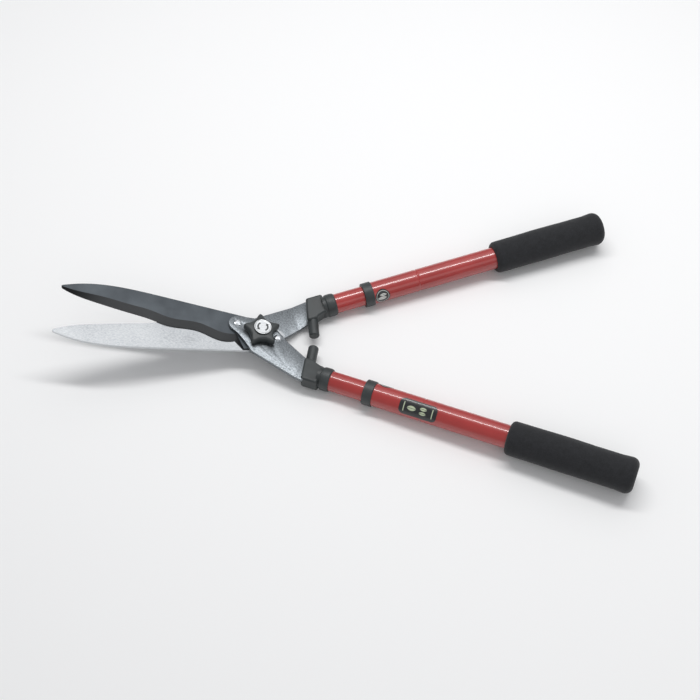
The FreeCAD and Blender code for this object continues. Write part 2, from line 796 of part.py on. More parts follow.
def make_bolt():
    """Bolt with a flat round head below and a square neck in the bottom arm."""
    radius, head = mm.bolt_radius, mm.bolt_head_radius
    tip = insert_high - 0.3
    pose = bottom.pose.multiply(turned_about(Z_AXIS, mm.handle_angle.value))
    body = new_body("pivot_bolt", pose)
    revolve(body, [(0, bolt_bottom), (head - 1.5, bolt_bottom), (head, bolt_bottom + 1.5),
                   (head, -arm_high), (radius, -arm_high), (radius, tip - 0.8), (radius - 0.8, tip),
                   (0, tip)], "V_Axis")
    neck = new_sketch(body, "XY_Plane", "Neck", -arm_high)
    draw_polygon(neck, square(radius))
    pad(body, neck, mm.arm_thickness)
    keep(body, "pivot_bolt")


def make_knob():
    """Star knob that turns on the bolt: moulding, threaded insert and cap."""
    pose = turned_about(Z_AXIS, mm.knob_turn.value)
    body = new_body("star_knob", pose)
    disc = new_sketch(body, "XY_Plane", "Disc", knob_low)
    draw_circle(disc, mm.knob_radius)
    pad(body, disc, mm.knob_height)
    notch = new_sketch(body, "XY_Plane", "Notch")
    half_lobe = math.pi / mm.knob_lobes.value
    reach = (mm.cap_radius + mm.knob_wall + mm.knob_notch_radius).value
    draw_circle(notch, mm.knob_notch_radius, reach * math.cos(half_lobe), reach * math.sin(half_lobe))
    repeat_around(body, pocket_through(body, notch), mm.knob_lobes)
    round_edges(body, mm.knob_lobe_round,
                lambda edge: abs(edge.BoundBox.ZLength - mm.knob_height.value) < 0.01)
    round_edges(body, mm.knob_top_round, lambda edge: abs(edge.BoundBox.ZMin - knob_high.value) < 0.01)
    bores = new_sketch(body, "XZ_Plane", "Bores")
    draw_polygon(bores, [(0, knob_low - 1), (mm.insert_radius, knob_low - 1),
                         (mm.insert_radius, insert_high), (0, insert_high)])
    draw_polygon(bores, [(0, cap_low), (mm.cap_radius, cap_low), (mm.cap_radius, knob_high + 1),
                         (0, knob_high + 1)])
    document.recompute()
    groove = body.newObject("PartDesign::Groove", "Bores")
    groove.Profile = bores
    groove.ReferenceAxis = (bores, ["V_Axis"])
    groove.Angle = 360.0
    keep(body, "star_knob")
    bore = mm.bolt_radius + mm.running_gap
    turned("knob_insert", pose, [(bore, knob_low), (mm.insert_radius, knob_low),
                                 (mm.insert_radius, insert_high), (bore, insert_high)], "V_Axis")
    cap, rim, cap_high = mm.cap_radius, mm.cap_rim, cap_low + mm.cap_height
    turned("knob_cap", pose, [(0, cap_low), (cap, cap_low), (cap, cap_high - rim), (cap - rim, cap_high),
                              (0, cap_high)], "V_Axis")


def make_washer():
    bore = mm.bolt_radius + mm.lip_gap
    turned("wave_washer", bottom.pose, [(bore, washer_low), (mm.washer_radius, washer_low),
                                        (mm.washer_radius, washer_high), (bore, washer_high)], "V_Axis")


# Assembly ---------------------------------------------------------------------------------------------

for half in (top, bottom):
    make_blade(half)
    make_rivets(half)
    blank = make_arm(half)
    cross_pin = make_cross_pin(half)
    arm = keep(cut(half.label("arm"), blank, cross_pin), half.label("arm"))
    make_stop_block(half, arm)
    make_tube_front(half, blank, cross_pin)
    make_lock(half)
    make_outer_tube(half)
    make_collar(half)
    make_guide_bush(half)
    make_end_plug(half)
    make_grip(half)
    make_round_label(half)
make_long_label(top)
make_bolt()
make_washer()
make_knob()


# Resting pose -----------------------------------------------------------------------------------------

def resting_tilt():
    """Angle about Y at which the lowest points before and behind the middle lie level."""
    points = [point for piece in sub_parts.values() for point in piece.Shape.tessellate(FINENESS)[0]]
    middle = mm.crank_reach.value + ferrule_end.value
    front = [point for point in points if point.x < middle]
    rear = [point for point in points if point.x >= middle]

    def lowest(group, tilt):
        return min(point.z * math.cos(tilt) - point.x * math.sin(tilt) for point in group)

    small, large = 0.0, math.radians(30.0)
    while large - small > 1e-6:
        tilt = (small + large) / 2
        if lowest(rear, tilt) > lowest(front, tilt):
            small = tilt
        else:
            large = tilt
    return math.degrees(small)


PRIMARY_TYPES = ("PartDesign::Body", "Part::Cylinder")
primary = [item for item in document.Objects if item.TypeId in PRIMARY_TYPES]


def place_all(pose):
    """Move every primary solid; the booleans follow their operands."""
    for item in primary:
        item.Placement = pose.multiply(item.Placement)
    document.recompute()


place_all(turned_about(Y_AXIS, resting_tilt()))
boxes = [piece.Shape.optimalBoundingBox(False, False) for piece in sub_parts.values()]
low = Vector(*(min(getattr(box, side) for box in boxes) for side in ("XMin", "YMin", "ZMin")))
high = Vector(*(max(getattr(box, side) for box in boxes) for side in ("XMax", "YMax", "ZMax")))
centre = Vector((low.x + high.x) / 2, (low.y + high.y) / 2, low.z)
place_all(moved(-centre.x, -centre.y, -centre.z))


# Checks and export ------------------------------------------------------------------------------------

for item in document.Objects:
    if "Invalid" in item.State or "Error" in item.State:
        raise RuntimeError(f"{item.Label} failed: {item.State}")
for label, piece in sub_parts.items():
    if piece.Shape.isNull() or not piece.Shape.isValid() or not piece.Shape.Solids:
        raise RuntimeError(f"{label} has no valid solid")

os.makedirs("parts", exist_ok=True)
for label, piece in sub_parts.items():
    piece.Shape.exportStep(f"parts/{label}.step")
print(f"{len(sub_parts)} sub-parts, size {high.x - low.x:.1f} x {high.y - low.y:.1f} x "
      f"{high.z - low.z:.1f} mm")
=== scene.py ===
# %% [markdown]
# # Hedge shears, dressed on a fixed frame
# The working model comes in from CAD as a set of solids that already sit in the right place. This
# script gives them their looks. Solids whose shape is right keep their mesh and get a finish.
# Pieces that need softer or finer forms are modelled here and take the place of a solid.
# Everything is in metres, with the tool lying on the floor at z = 0.

# %% Load the frame
import json
import math

import bpy
from mathutils import Matrix, Vector


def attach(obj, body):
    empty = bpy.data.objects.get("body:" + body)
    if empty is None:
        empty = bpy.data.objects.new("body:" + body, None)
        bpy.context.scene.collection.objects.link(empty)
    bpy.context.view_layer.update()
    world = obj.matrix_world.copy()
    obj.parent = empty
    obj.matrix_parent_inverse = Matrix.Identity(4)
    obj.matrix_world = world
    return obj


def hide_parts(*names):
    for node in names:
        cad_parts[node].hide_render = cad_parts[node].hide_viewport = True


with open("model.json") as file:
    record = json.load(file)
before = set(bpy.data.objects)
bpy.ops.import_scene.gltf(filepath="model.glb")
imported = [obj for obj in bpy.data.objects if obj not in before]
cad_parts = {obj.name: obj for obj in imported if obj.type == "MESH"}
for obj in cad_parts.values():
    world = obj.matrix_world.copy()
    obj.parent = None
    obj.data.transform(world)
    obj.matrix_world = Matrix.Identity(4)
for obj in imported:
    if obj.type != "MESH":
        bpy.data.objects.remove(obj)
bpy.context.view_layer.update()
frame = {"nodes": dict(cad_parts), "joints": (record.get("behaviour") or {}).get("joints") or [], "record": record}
MM = 0.001

# %% [markdown]
# ## Places that the frame gives
# Two kinds of place are needed. The pivot has its axis up through both blades, and each handle has
# an axis along its tube. A matrix for each lets a piece be modelled straight, at the origin, and
# then be moved to where it belongs in one step.

# %% Frames of the pivot and the handles
joints = {joint["name"]: joint for joint in frame["joints"]}


def frame_matrix(place, along, upward):
    """Matrix with its x axis along one direction and its z axis as near as can be to another."""
    x = Vector(along).normalized()
    y = Vector(upward).cross(x).normalized()
    z = x.cross(y)
    matrix = Matrix((x, y, z)).transposed().to_4x4()
    matrix.translation = Vector(place)
    return matrix


pivot_place = Vector(joints["pivot"]["pos_m"])
pivot_up = -Vector(joints["pivot"]["axis"])
PIVOT = frame_matrix(pivot_place, Vector((0, 1, 0)).cross(pivot_up), pivot_up)
HANDLE = {
    side: frame_matrix(joints[f"twist_{side}"]["pos_m"], joints[f"twist_{side}"]["axis"], pivot_up)
    for side in ("top", "bottom")
}


def extent(node, matrix):
    """Lowest and highest corner of a solid, measured in another frame."""
    back = matrix.inverted()
    points = [back @ vertex.co for vertex in frame["nodes"][node].data.vertices]
    return Vector(map(min, zip(*points))), Vector(map(max, zip(*points)))


print("pivot at", [round(x / MM, 1) for x in pivot_place], "mm")

# %% [markdown]
# ## Camera
# The tool is seen from the handle side, from rather high up, with the camera rolled by about a
# degree. A lens a little longer than normal keeps the far blade tip from looking small.

# %% Camera
CAMERA_PLACE = Vector((0.0428, -0.7160, 1.0295))
CAMERA_HEADING = math.radians(2.767)
CAMERA_DIP = math.radians(55.18)
CAMERA_ROLL = math.radians(1.2)
LENS_MM = 58.53

look = Vector((-math.sin(CAMERA_HEADING) * math.cos(CAMERA_DIP),
               math.cos(CAMERA_HEADING) * math.cos(CAMERA_DIP), -math.sin(CAMERA_DIP)))
bpy.ops.object.camera_add(location=CAMERA_PLACE)
camera = bpy.context.object
camera.data.lens = LENS_MM
turn = look.to_track_quat("-Z", "Y") @ Matrix.Rotation(-CAMERA_ROLL, 3, "Z").to_quaternion()
camera.rotation_euler = turn.to_euler()
bpy.context.scene.camera = camera
print("camera looks along", [round(x, 3) for x in look])

# %% [markdown]
# ## Floor and light
# A pale floor and a pale sky light the tool evenly, as in a light tent. A long narrow lamp
# overhead draws the bright line along each lacquered tube, a large card behind shows in the ground
# blade, and a weak lamp from the front keeps the black mouldings readable.

# %% Floor
FLOOR_SIZE = 6.0
FLOOR_DROP = 0.2 * MM
bpy.ops.mesh.primitive_plane_add(size=FLOOR_SIZE, location=(0, 0, -FLOOR_DROP))
floor = bpy.context.object
floor.name = "floor"
matt_paper = bpy.data.materials.new("matt_paper")
matt_paper.use_nodes = True
paper = matt_paper.node_tree.nodes["Principled BSDF"]
paper.inputs["Base Color"].default_value = (0.9, 0.9, 0.9, 1)
paper.inputs["Roughness"].default_value = 0.95
paper.inputs["Specular IOR Level"].default_value = 0.1
floor.data.materials.append(matt_paper)

# %% Lamps


def soft_lamp(name, place, aim, width, height, power):
    """A rectangular lamp turned towards a point."""
    bpy.ops.object.light_add(type="AREA", location=place)
    lamp = bpy.context.object
    lamp.name = name
    lamp.data.shape = "RECTANGLE"
    lamp.data.size = width
    lamp.data.size_y = height
    lamp.data.energy = power
    lamp.rotation_euler = (Vector(aim) - Vector(place)).to_track_quat("-Z", "Y").to_euler()


soft_lamp("lamp_line", (0.15, 0.45, 1.5), (0.1, 0, 0), 1.8, 0.16, 15)
soft_lamp("lamp_card", (0.26, 0.86, 1.19), (-0.1, 0, 0), 1.3, 1.1, 2.4)
soft_lamp("lamp_front", (0.5, -1.3, 1.2), (0, 0, 0), 1.6, 0.8, 3)

SKY_STRENGTH = 0.45
world = bpy.data.worlds.new("sky")
bpy.context.scene.world = world
world.use_nodes = True
sky = world.node_tree.nodes["Background"]
sky.inputs["Color"].default_value = (0.97, 0.98, 1.0, 1)
sky.inputs["Strength"].default_value = SKY_STRENGTH
bpy.context.scene.view_settings.view_transform = "Standard"
print("three lamps and a pale sky")

# %% [markdown]
# ## Finishes
# Each finish is a small node tree. One function adds a node with its settings and links. Colours
# are written as sRGB hex values, the way a paint chart gives them, and turned to linear in one
# place. Patterns are sized in millimetres: a noise of scale s has features about 1 / s metres
# across.

# %% Helpers for finishes


def linear(hex_colour):
    """A colour written as sRGB hex, as linear red, green, blue and alpha."""
    parts = [int(hex_colour[place:place + 2], 16) / 255 for place in (1, 3, 5)]
    return [c / 12.92 if c <= 0.04045 else ((c + 0.055) / 1.055) ** 2.4 for c in parts] + [1.0]


def add(tree, kind, inputs=None, **settings):
    """Adds a node, sets its properties, and fills its sockets with values or links."""
    node = tree.nodes.new("ShaderNode" + kind)
    for name, value in settings.items():
        setattr(node, name, value)
    for name, value in (inputs or {}).items():
        if isinstance(value, bpy.types.NodeSocket):
            tree.links.new(value, node.inputs[name])
        else:
            node.inputs[name].default_value = value
    return node


def per(millimetres):
    """Scale of a pattern whose features are that many millimetres across."""
    return 1 / (millimetres * MM)


def finish_of(name, slot, **sockets):
    """A new material with its tree, its shader and the object coordinates that patterns read."""
    material = bpy.data.materials.new(name)
    material.use_nodes = True
    material["slot"] = slot
    tree = material.node_tree
    shader = tree.nodes["Principled BSDF"]
    for socket, value in sockets.items():
        shader.inputs[socket.replace("_", " ")].default_value = value
    coords = add(tree, "TexCoord").outputs["Object"]
    return material, tree, shader, coords


def shades(tree, factor, *stops):
    """A colour ramp from (place, hex) stops."""
    ramp = add(tree, "ValToRGB", {0: factor})
    elements = ramp.color_ramp.elements
    while len(elements) < len(stops):
        elements.new(0.5)
    for element, (place, colour) in zip(elements, stops):
        element.position = place
        element.color = linear(colour)
    return ramp.outputs["Color"]


def roughen(tree, shader, height, depth_mm, strength):
    """Bump on the shader from a height pattern, with its depth in millimetres."""
    bump = add(tree, "Bump", {"Height": height, "Distance": depth_mm * MM, "Strength": strength})
    tree.links.new(bump.outputs["Normal"], shader.inputs["Normal"])


def between(tree, factor, low, high):
    """A value that runs from low to high with a 0 to 1 factor."""
    return add(tree, "MapRange", {"Value": factor, "To Min": low, "To Max": high}).outputs["Result"]


# %% [markdown]
# ### Gloss enamel on the tubes
# The steel tubes are dipped in red stoving enamel. It is a coloured coat under a clear, hard gloss
# with the faint orange peel of a sprayed layer, and dust that dulls the gloss in patches.

# %% Gloss enamel


def gloss_red_enamel():
    material, tree, shader, coords = finish_of(
        "gloss_red_enamel", "red_enamel", IOR=1.5, Coat_Weight=0.9, Coat_Roughness=0.07)
    peel = add(tree, "TexNoise", {"Vector": coords, "Scale": per(2.2), "Detail": 1.0})
    cloud = add(tree, "TexNoise", {"Vector": coords, "Scale": per(35), "Detail": 5.0})
    colour = shades(tree, cloud.outputs["Fac"], (0.3, "#97201D"), (0.7, "#A92825"))
    tree.links.new(colour, shader.inputs["Base Color"])
    tree.links.new(between(tree, cloud.outputs["Fac"], 0.28, 0.42), shader.inputs["Roughness"])
    roughen(tree, shader, peel.outputs["Fac"], 0.006, 0.15)
    return material


# %% [markdown]
# ### Hammertone enamel on the arms
# The cranked arms wear a grey enamel with aluminium flake that draws into small cells as it dries.
# A Voronoi pattern gives the cells, and its borders are the low, darker lines between them.

# %% Hammertone enamel


def grey_hammertone_enamel():
    material, tree, shader, coords = finish_of(
        "grey_hammertone_enamel", "grey_enamel", Metallic=0.75, IOR=1.5)
    wobble = add(tree, "TexNoise", {"Vector": coords, "Scale": per(3.0), "Detail": 2.0})
    shifted = add(tree, "VectorMath", {0: wobble.outputs["Color"], "Scale": 1.2 * MM},
                  operation="SCALE")
    moved = add(tree, "VectorMath", {0: coords, 1: shifted.outputs["Vector"]}, operation="ADD")
    cells = add(tree, "TexVoronoi", {"Vector": moved.outputs["Vector"], "Scale": per(1.3)},
                feature="SMOOTH_F1")
    flake = add(tree, "TexNoise", {"Vector": coords, "Scale": per(0.5), "Detail": 3.0})
    blend = add(tree, "Mix", {"Factor": 0.45, 2: cells.outputs["Distance"],
                              3: flake.outputs["Fac"]}, data_type="FLOAT")
    colour = shades(tree, blend.outputs[0], (0.15, "#9A9EA2"), (0.42, "#7C8185"), (0.75, "#565B5F"))
    tree.links.new(colour, shader.inputs["Base Color"])
    tree.links.new(between(tree, blend.outputs[0], 0.26, 0.52), shader.inputs["Roughness"])
    roughen(tree, shader, blend.outputs[0], 0.14, 0.5)
    return material


# %% [markdown]
# ### Blades
# The upper blade has a dark non-stick coating, satin on the flat. The ground face of its edge is
# drawn nearly black as painted shade: it leans away from the flat, so the surface normal tells them
# apart. The lower blade is bare ground steel with fine grinding lines along its length.

# %% Blade finishes
BEVEL_START = 0.995
BEVEL_FULL = 0.975


def coated_blade_steel():
    material, tree, shader, coords = finish_of(
        "coated_blade_steel", "dark_blade", Metallic=0.55, IOR=1.5)
    normal = add(tree, "TexCoord").outputs["Normal"]
    lean = add(tree, "VectorMath", {0: normal, 1: tuple(pivot_up)}, operation="DOT_PRODUCT")
    upright = add(tree, "Math", {0: lean.outputs["Value"]}, operation="ABSOLUTE")
    # Painted shade: faces that lean away from the flat, on the ground bevel, turn nearly black.
    bevel_shade = add(tree, "MapRange", {"Value": upright.outputs[0], "From Min": BEVEL_START,
                                    "From Max": BEVEL_FULL}).outputs["Result"]
    along = add(tree, "Mapping", {"Vector": coords, "Scale": (0.06, 1.0, 1.0)})
    grain = add(tree, "TexNoise", {"Vector": along.outputs["Vector"], "Scale": per(0.6),
                                   "Detail": 4.0})
    cloud = add(tree, "TexNoise", {"Vector": coords, "Scale": per(28), "Detail": 3.0})
    flat = shades(tree, cloud.outputs["Fac"], (0.3, "#3B4045"), (0.7, "#50565B"))
    # The bevel mask mixes a near-black painted shade over the coating colour.
    colour = add(tree, "Mix", {"Factor": bevel_shade, 6: flat, 7: linear("#17191B")}, data_type="RGBA")
    tree.links.new(colour.outputs[2], shader.inputs["Base Color"])
    tree.links.new(between(tree, grain.outputs["Fac"], 0.3, 0.46), shader.inputs["Roughness"])
    roughen(tree, shader, grain.outputs["Fac"], 0.02, 0.35)
    return material


def ground_blade_steel():
    material, tree, shader, coords = finish_of(
        "ground_blade_steel", "bright_blade", Metallic=1.0)
    along = add(tree, "Mapping", {"Vector": coords, "Scale": (0.02, 1.0, 1.0)})
    lines = add(tree, "TexNoise", {"Vector": along.outputs["Vector"], "Scale": per(0.5),
                                   "Detail": 4.0})
    cloud = add(tree, "TexNoise", {"Vector": coords, "Scale": per(40), "Detail": 4.0})
    mixed = add(tree, "Mix", {"Factor": 0.35, 2: lines.outputs["Fac"], 3: cloud.outputs["Fac"]},
                data_type="FLOAT")
    colour = shades(tree, mixed.outputs[0], (0.3, "#A9ACAF"), (0.5, "#C2C5C8"), (0.7, "#D2D4D6"))
    tree.links.new(colour, shader.inputs["Base Color"])
    tree.links.new(between(tree, lines.outputs["Fac"], 0.15, 0.26), shader.inputs["Roughness"])
    roughen(tree, shader, lines.outputs["Fac"], 0.02, 0.4)
    return material


# %% [markdown]
# ### Small metal parts
# Rivets, bolt, washer and pins are zinc plated, which leaves a fine cloudy grain. The insert in
# the knob is turned brass, and the cap on the knob is satin aluminium with rings from the lathe.

# %% Small metal finishes


def zinc_plated_steel():
    material, tree, shader, coords = finish_of(
        "zinc_plated_steel", "plated_steel", Metallic=1.0)
    grain = add(tree, "TexNoise", {"Vector": coords, "Scale": per(1.1), "Detail": 5.0})
    colour = shades(tree, grain.outputs["Fac"], (0.3, "#BCC0C5"), (0.7, "#DDE0E3"))
    tree.links.new(colour, shader.inputs["Base Color"])
    tree.links.new(between(tree, grain.outputs["Fac"], 0.16, 0.34), shader.inputs["Roughness"])
    roughen(tree, shader, grain.outputs["Fac"], 0.03, 0.3)
    return material


def lathe_rings(tree, coords, spacing_mm):
    """Fine rings round the pivot axis, as a turning tool leaves them."""
    place = add(tree, "VectorMath", {0: coords, 1: tuple(pivot_place)}, operation="SUBTRACT")
    height = add(tree, "VectorMath", {0: place.outputs["Vector"], 1: tuple(pivot_up)},
                 operation="DOT_PRODUCT")
    lift = add(tree, "VectorMath", {0: tuple(pivot_up), "Scale": height.outputs["Value"]},
               operation="SCALE")
    flat = add(tree, "VectorMath", {0: place.outputs["Vector"], 1: lift.outputs["Vector"]},
               operation="SUBTRACT")
    radius = add(tree, "VectorMath", {0: flat.outputs["Vector"]}, operation="LENGTH")
    rings = add(tree, "TexNoise", {"W": radius.outputs["Value"], "Scale": per(spacing_mm),
                                   "Detail": 2.0}, noise_dimensions="1D")
    return rings.outputs["Fac"]


def satin_aluminium():
    material, tree, shader, coords = finish_of(
        "satin_aluminium", "silver_cap", Metallic=1.0)
    rings = lathe_rings(tree, coords, 0.35)
    colour = shades(tree, rings, (0.3, "#B9BCBE"), (0.7, "#D6D8D9"))
    tree.links.new(colour, shader.inputs["Base Color"])
    tree.links.new(between(tree, rings, 0.22, 0.4), shader.inputs["Roughness"])
    roughen(tree, shader, rings, 0.015, 0.5)
    return material


def turned_brass():
    material, tree, shader, coords = finish_of("turned_brass", "brass", Metallic=1.0, Roughness=0.3)
    rings = lathe_rings(tree, coords, 0.4)
    colour = shades(tree, rings, (0.3, "#B08D4A"), (0.7, "#D2B26C"))
    tree.links.new(colour, shader.inputs["Base Color"])
    roughen(tree, shader, rings, 0.02, 0.5)
    return material


# %% [markdown]
# ### Plastics, foam and labels
# The black mouldings are glass-filled polyamide from a spark-eroded mould: satin, with an even
# fine grain. The lock parts are natural polyamide, which lets a little light in. The grips are
# closed-cell foam with a skin of tiny pores. Labels are printed film.

# %% Plastic and foam finishes


def black_polyamide():
    material, tree, shader, coords = finish_of(
        "black_glass_filled_polyamide", "black_plastic", IOR=1.53)
    # The real grain is about 0.1 mm. It is drawn coarser, or it would not show.
    grain = add(tree, "TexNoise", {"Vector": coords, "Scale": per(0.6), "Detail": 4.0})
    cloud = add(tree, "TexNoise", {"Vector": coords, "Scale": per(14), "Detail": 3.0})
    colour = shades(tree, cloud.outputs["Fac"], (0.3, "#272B2C"), (0.7, "#353A3B"))
    tree.links.new(colour, shader.inputs["Base Color"])
    tree.links.new(between(tree, cloud.outputs["Fac"], 0.38, 0.56), shader.inputs["Roughness"])
    roughen(tree, shader, grain.outputs["Fac"], 0.06, 0.5)
    return material


def natural_polyamide():
    material, tree, shader, coords = finish_of(
        "natural_polyamide", "nylon", Roughness=0.45, IOR=1.53, Subsurface_Weight=0.15,
        Subsurface_Scale=0.002)
    cloud = add(tree, "TexNoise", {"Vector": coords, "Scale": per(6), "Detail": 3.0})
    colour = shades(tree, cloud.outputs["Fac"], (0.3, "#D2CCBC"), (0.7, "#E2DDD0"))
    tree.links.new(colour, shader.inputs["Base Color"])
    roughen(tree, shader, cloud.outputs["Fac"], 0.02, 0.4)
    return material


def closed_cell_foam():
    material, tree, shader, coords = finish_of(
        "closed_cell_foam", "black_foam", IOR=1.45, Sheen_Weight=0.12, Sheen_Roughness=0.5,
        Specular_IOR_Level=0.35)
    # Real pores are about 0.2 mm. They are drawn larger, or they would not show.
    pores = add(tree, "TexVoronoi", {"Vector": coords, "Scale": per(0.9)}, feature="SMOOTH_F1")
    skin = add(tree, "TexNoise", {"Vector": coords, "Scale": per(5), "Detail": 5.0})
    mixed = add(tree, "Mix", {"Factor": 0.5, 2: pores.outputs["Distance"], 3: skin.outputs["Fac"]},
                data_type="FLOAT")
    colour = shades(tree, mixed.outputs[0], (0.25, "#1B1C1E"), (0.65, "#2A2B2E"))
    tree.links.new(colour, shader.inputs["Base Color"])
    tree.links.new(between(tree, mixed.outputs[0], 0.78, 0.95), shader.inputs["Roughness"])
    roughen(tree, shader, mixed.outputs[0], 0.22, 0.55)
    return material


FINISH = {}
for make in (gloss_red_enamel, grey_hammertone_enamel, coated_blade_steel, ground_blade_steel,
             zinc_plated_steel, satin_aluminium, turned_brass, black_polyamide,
             natural_polyamide, closed_cell_foam):
    made = make()
    FINISH[made["slot"]] = made
print(len(FINISH), "finishes")

# %% [markdown]
# ### Printed labels
# A label is dark film with a plain printed sign: two leaves inside a thin border. A leaf is where
# two discs overlap, and its rib is a thin line, so the drawing is three distances and a few
# comparisons. The pattern is laid flat on the label, in a frame that sits at its middle and faces
# outwards.

# %% Label finish


def label_frame(node, side):
    """Frame at the middle of a label, with x along the tube and z straight out of it."""
    low, high = extent(node, HANDLE[side])
    points = [HANDLE[side].inverted() @ v.co for v in frame["nodes"][node].data.vertices]
    middle = sum(points, Vector()) / len(points)
    outward = HANDLE[side].to_3x3() @ Vector((0, middle.y, middle.z))
    axis = HANDLE[side].to_3x3() @ Vector((1, 0, 0))
    centre = HANDLE[side] @ Vector(((low.x + high.x) / 2, middle.y, middle.z))
    return frame_matrix(centre, axis, outward), high.x - low.x


def mask(tree, value, edge, softness=0.12 * MM):
    """1 where the value is under the edge, 0 where it is over it."""
    return add(tree, "MapRange", {"Value": value, "From Min": edge + softness,
                                  "From Max": edge - softness}).outputs["Result"]


def calculate(tree, operation, first, second):
    """Result of a sum on two values or sockets."""
    return add(tree, "Math", {0: first, 1: second}, operation=operation).outputs[0]


def leaf(tree, coords, centre, length, half_width):
    """Mask of a leaf along x: the overlap of two discs, less a thin rib."""
    radius = ((length / 2) ** 2 + half_width ** 2) / (2 * half_width)
    inside = 1.0
    for way in (-1, 1):
        middle = (centre[0], centre[1] + way * (radius - half_width), 0)
        distance = add(tree, "VectorMath", {0: coords, 1: middle}, operation="DISTANCE")
        inside = calculate(tree, "MULTIPLY", inside, mask(tree, distance.outputs["Value"], radius))
    split = add(tree, "SeparateXYZ", {0: coords})
    offset = calculate(tree, "SUBTRACT", split.outputs["Y"], centre[1])
    rib = mask(tree, calculate(tree, "ABSOLUTE", offset, 0), 0.22 * MM, 0.08 * MM)
    return calculate(tree, "MULTIPLY", inside, calculate(tree, "SUBTRACT", 1.0, rib))


def printed_label(name, node, side, ink, leaves, border):
    """Film label with leaves and a border, which is a function that draws it."""
    material, tree, shader, coords = finish_of(name, "label_film", IOR=1.5, Coat_Weight=0.4,
                                               Coat_Roughness=0.12)
    matrix, length = label_frame(node, side)
    rotation = matrix.to_3x3().transposed()
    shifted = add(tree, "VectorMath", {0: coords, 1: tuple(matrix.translation)},
                  operation="SUBTRACT")
    parts = [add(tree, "VectorMath", {0: shifted.outputs["Vector"], 1: tuple(row)},
                 operation="DOT_PRODUCT").outputs["Value"] for row in rotation]
    flat = add(tree, "CombineXYZ", {"X": parts[0], "Y": parts[1]}).outputs["Vector"]
    drawing = border(tree, flat, parts, length)
    for centre, size, half_width in leaves:
        place = (centre[0] * MM, centre[1] * MM)
        drawing = calculate(tree, "MAXIMUM", drawing,
                            leaf(tree, flat, place, size * MM, half_width * MM))
    wear = add(tree, "TexNoise", {"Vector": coords, "Scale": per(3), "Detail": 4.0})
    film = shades(tree, wear.outputs["Fac"], (0.3, "#141516"), (0.7, "#202224"))
    colour = add(tree, "Mix", {"Factor": drawing, 6: film, 7: linear(ink)}, data_type="RGBA")
    tree.links.new(colour.outputs[2], shader.inputs["Base Color"])
    tree.links.new(between(tree, wear.outputs["Fac"], 0.24, 0.4), shader.inputs["Roughness"])
    return material


def ring_border(tree, flat, parts, length):
    """A thin ring just inside the edge of a round label."""
    radius = add(tree, "VectorMath", {0: flat}, operation="LENGTH").outputs["Value"]
    off = calculate(tree, "SUBTRACT", radius, length / 2 - 1.4 * MM)
    return mask(tree, calculate(tree, "ABSOLUTE", off, 0), 0.2 * MM, 0.1 * MM)


def bar_border(tree, flat, parts, length):
    """Two thin bars across the ends of a long label."""
    off = calculate(tree, "SUBTRACT", calculate(tree, "ABSOLUTE", parts[0], 0), length / 2 - 5 * MM)
    width = mask(tree, calculate(tree, "ABSOLUTE", parts[1], 0), 5 * MM)
    return calculate(tree, "MULTIPLY", width,
                     mask(tree, calculate(tree, "ABSOLUTE", off, 0), 0.5 * MM))


# Leaves as (middle, length, half width) in millimetres, in the label's own frame.
ROUND_LEAVES = [((-0.8, -1.6), 11.0, 1.9), ((0.8, 2.4), 9.0, 1.5)]
LONG_LEAVES = [((-7.0, 0.0), 10.0, 2.6), ((5.5, 2.4), 8.0, 1.8), ((5.5, -2.4), 8.0, 1.8)]
LABELS = {
    "round_label_top": printed_label("printed_film_round_top", "round_label_top", "top",
                                     "#D9DAD5", ROUND_LEAVES, ring_border),
    "round_label_bottom": printed_label("printed_film_round_bottom", "round_label_bottom",
                                        "bottom", "#D9DAD5", ROUND_LEAVES, ring_border),
    "long_label": printed_label("printed_film_long", "long_label", "top", "#B9C4A6", LONG_LEAVES,
                                bar_border),
}

# %% [markdown]
# ## Dress the solids
# Every solid has a slot in the record that says what it is made of, so the finish follows from the
# slot. Labels are the exception, as each one has its own drawing.

# %% Give every solid its finish


def dress(piece, material):
    """Gives a piece one material and no other."""
    piece.data.materials.clear()
    piece.data.materials.append(material)


slots = {part["node"]: part["material_slot"] for part in frame["record"]["subparts"]}
for name, solid in frame["nodes"].items():
    dress(solid, LABELS.get(name) or FINISH[slots[name]])
print("dressed", len(slots), "solids")

# %% [markdown]
# ## Modelling helpers
# Pieces are made with the same operators as by hand. Nothing may be selected before a primitive is
# added, and inside edit mode a test on the middle of a face or edge does the picking.

# %% Modelling helpers


def start(name, primitive, **settings):
    """Adds a primitive on its own, named, and opens it in edit mode."""
    bpy.ops.object.select_all(action="DESELECT")
    primitive(**settings)
    piece = bpy.context.object
    piece.name = name
    piece.data.name = name
    bpy.ops.object.mode_set(mode="EDIT")
    return piece


def pick(kind, test):
    """Selects the vertices, edges or faces whose middle passes a test."""
    mesh = bpy.context.object.data
    bpy.ops.mesh.select_mode(type=kind)
    bpy.ops.mesh.select_all(action="DESELECT")
    bpy.ops.object.mode_set(mode="OBJECT")
    if kind == "VERT":
        for vertex in mesh.vertices:
            vertex.select = test(vertex.co)
    elif kind == "EDGE":
        for edge in mesh.edges:
            ends = [mesh.vertices[index].co for index in edge.vertices]
            edge.select = test((ends[0] + ends[1]) / 2)
    else:
        for face in mesh.polygons:
            face.select = test(face.center)
    bpy.ops.object.mode_set(mode="EDIT")


def raise_by(height):
    """Extrudes what is selected straight up."""
    bpy.ops.mesh.extrude_region_move(TRANSFORM_OT_translate={"value": (0, 0, height)})


def modify(piece, kind, **settings):
    """Adds a modifier and applies it at once."""
    modifier = piece.modifiers.new(kind.lower(), kind)
    for name, value in settings.items():
        setattr(modifier, name, value)
    bpy.ops.object.modifier_apply(modifier=modifier.name)


def close_up(piece):
    """Ends edit mode with doubles merged and every face pointing out."""
    bpy.ops.mesh.select_all(action="SELECT")
    bpy.ops.mesh.remove_doubles(threshold=0.001 * MM)
    bpy.ops.mesh.normals_make_consistent(inside=False)
    bpy.ops.object.mode_set(mode="OBJECT")


